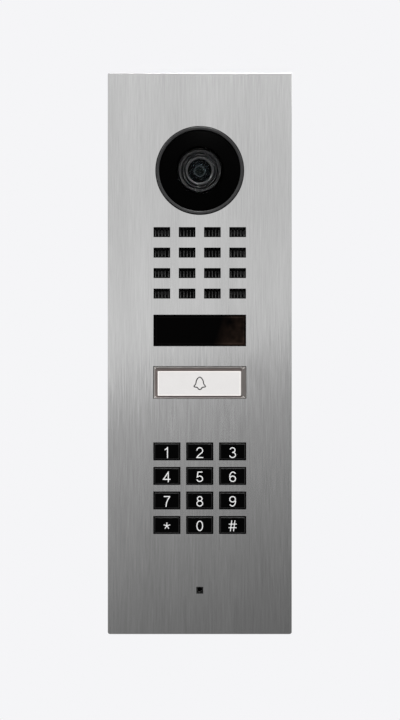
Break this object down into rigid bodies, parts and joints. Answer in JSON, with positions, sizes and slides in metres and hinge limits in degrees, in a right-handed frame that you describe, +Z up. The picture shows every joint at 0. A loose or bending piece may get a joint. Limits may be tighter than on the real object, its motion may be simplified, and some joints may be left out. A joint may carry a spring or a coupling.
{
  "type": "door intercom panel",
  "caption": "Tall brushed steel door intercom panel with a round camera, slotted speaker, dark sensor window, call button with name plate, keypad and microphone.",
  "frame": {"origin": "middle of the flat back face that rests on the wall", "axes": "+Z up, +X right as seen from the front, +Y into the wall; the front faces -Y"},
  "size_m": [0.075, 0.0329, 0.2286],
  "materials": {
    "brushed_steel": "vertical brushed grain, satin",
    "bright_metal": "bright zinc plated",
    "brass_metal": "plated can, satin",
    "black_plastic": "fine matt, key caps satin gloss",
    "gloss_black": "high gloss, lets infrared through",
    "grey_plastic": "satin gloss dark grey",
    "smoke_plastic": "translucent grey",
    "clear_plastic": "clear moulded, polished",
    "coated_glass": "anti-reflection coating, green and magenta sheen",
    "white_film": "white printed film with a bell outline",
    "rubber": "matt black",
    "silicone": "matt grey",
    "circuit_board": "green solder mask",
    "paper_cone": "treated paper",
    "ferrite": "grey ceramic magnet and plated cup",
    "flex_film": "amber polyimide film",
    "chip": "matt black package",
    "terminal_green": "green moulded"
  },
  "bodies": {
    "panel_body": {"front_plate": "brushed_steel", "top_hook": "brushed_steel", "lower_bracket": "brushed_steel", "rear_housing": "brushed_steel", "housing_gasket": "rubber", "cable_grommet": "rubber", "security_screw": "bright_metal", "inner_chassis": "black_plastic", "main_board": "circuit_board", "chassis_screw_1": "bright_metal", "chassis_screw_2": "bright_metal", "chassis_screw_3": "bright_metal", "chassis_screw_4": "bright_metal", "terminal_block": "terminal_green", "processor_shield": "bright_metal", "camera_bezel": "grey_plastic", "camera_dome": "clear_plastic", "camera_mask": "gloss_black", "camera_gasket": "rubber", "camera_clamp_ring": "black_plastic", "lens_trim_ring": "grey_plastic", "lens_barrel": "black_plastic", "lens_front_element": "coated_glass", "lens_rear_element": "coated_glass", "lens_holder": "black_plastic", "image_sensor": "chip", "camera_board": "circuit_board", "camera_flex_cable": "flex_film", "infrared_led_ring": "circuit_board", "speaker_grille": "black_plastic", "speaker_gasket": "rubber", "speaker_basket": "black_plastic", "speaker_magnet": "ferrite", "sensor_window": "gloss_black", "motion_sensor": "brass_metal", "front_board": "circuit_board", "button_spring_left": "bright_metal", "button_spring_right": "bright_metal", "button_switch": "black_plastic", "keypad_membrane": "silicone", "keypad_board": "circuit_board", "microphone_boot": "rubber", "microphone_capsule": "bright_metal"},
    "call_button": {"call_button_cap": "clear_plastic", "call_button_label": "white_film", "call_button_carrier": "smoke_plastic"},
    "switch_plunger_body": {"switch_plunger": "smoke_plastic"},
    "speaker_cone_body": {"speaker_cone": "paper_cone"},
    "key_1_body": {"key_1": "black_plastic"},
    "key_2_body": {"key_2": "black_plastic"},
    "key_3_body": {"key_3": "black_plastic"},
    "key_4_body": {"key_4": "black_plastic"},
    "key_5_body": {"key_5": "black_plastic"},
    "key_6_body": {"key_6": "black_plastic"},
    "key_7_body": {"key_7": "black_plastic"},
    "key_8_body": {"key_8": "black_plastic"},
    "key_9_body": {"key_9": "black_plastic"},
    "key_star_body": {"key_star": "black_plastic"},
    "key_0_body": {"key_0": "black_plastic"},
    "key_hash_body": {"key_hash": "black_plastic"}
  },
  "joints": [
    {"name": "call_button_press", "type": "slide", "parent": "panel_body", "child": "call_button", "axis": [0, 1, 0], "range_m": [0, 0.0007], "stiffness_N_per_m": 500, "springref_m": -0.002, "deforming": ["button_spring_left", "button_spring_right"]},
    {"name": "switch_plunger_press", "type": "slide", "parent": "panel_body", "child": "switch_plunger_body", "axis": [0, 1, 0], "range_m": [0, 0.0007]},
    {"name": "speaker_cone_stroke", "type": "slide", "parent": "panel_body", "child": "speaker_cone_body", "axis": [0, 1, 0], "range_m": [-0.0004, 0.0004], "stiffness_N_per_m": 1200},
    {"name": "key_1_press", "type": "slide", "parent": "panel_body", "child": "key_1_body", "axis": [0, 1, 0], "range_m": [0, 0.001], "stiffness_N_per_m": 800, "springref_m": -0.0005, "deforming": ["keypad_membrane"]},
    {"name": "key_2_press", "type": "slide", "parent": "panel_body", "child": "key_2_body", "axis": [0, 1, 0], "range_m": [0, 0.001], "stiffness_N_per_m": 800, "springref_m": -0.0005, "deforming": ["keypad_membrane"]},
    {"name": "key_3_press", "type": "slide", "parent": "panel_body", "child": "key_3_body", "axis": [0, 1, 0], "range_m": [0, 0.001], "stiffness_N_per_m": 800, "springref_m": -0.0005, "deforming": ["keypad_membrane"]},
    {"name": "key_4_press", "type": "slide", "parent": "panel_body", "child": "key_4_body", "axis": [0, 1, 0], "range_m": [0, 0.001], "stiffness_N_per_m": 800, "springref_m": -0.0005, "deforming": ["keypad_membrane"]},
    {"name": "key_5_press", "type": "slide", "parent": "panel_body", "child": "key_5_body", "axis": [0, 1, 0], "range_m": [0, 0.001], "stiffness_N_per_m": 800, "springref_m": -0.0005, "deforming": ["keypad_membrane"]},
    {"name": "key_6_press", "type": "slide", "parent": "panel_body", "child": "key_6_body", "axis": [0, 1, 0], "range_m": [0, 0.001], "stiffness_N_per_m": 800, "springref_m": -0.0005, "deforming": ["keypad_membrane"]},
    {"name": "key_7_press", "type": "slide", "parent": "panel_body", "child": "key_7_body", "axis": [0, 1, 0], "range_m": [0, 0.001], "stiffness_N_per_m": 800, "springref_m": -0.0005, "deforming": ["keypad_membrane"]},
    {"name": "key_8_press", "type": "slide", "parent": "panel_body", "child": "key_8_body", "axis": [0, 1, 0], "range_m": [0, 0.001], "stiffness_N_per_m": 800, "springref_m": -0.0005, "deforming": ["keypad_membrane"]},
    {"name": "key_9_press", "type": "slide", "parent": "panel_body", "child": "key_9_body", "axis": [0, 1, 0], "range_m": [0, 0.001], "stiffness_N_per_m": 800, "springref_m": -0.0005, "deforming": ["keypad_membrane"]},
    {"name": "key_star_press", "type": "slide", "parent": "panel_body", "child": "key_star_body", "axis": [0, 1, 0], "range_m": [0, 0.001], "stiffness_N_per_m": 800, "springref_m": -0.0005, "deforming": ["keypad_membrane"]},
    {"name": "key_0_press", "type": "slide", "parent": "panel_body", "child": "key_0_body", "axis": [0, 1, 0], "range_m": [0, 0.001], "stiffness_N_per_m": 800, "springref_m": -0.0005, "deforming": ["keypad_membrane"]},
    {"name": "key_hash_press", "type": "slide", "parent": "panel_body", "child": "key_hash_body", "axis": [0, 1, 0], "range_m": [0, 0.001], "stiffness_N_per_m": 800, "springref_m": -0.0005, "deforming": ["keypad_membrane"]}
  ],
  "couplings": [
    {"joint": "switch_plunger_press", "follows": "call_button_press", "ratio": 1}
  ]
}
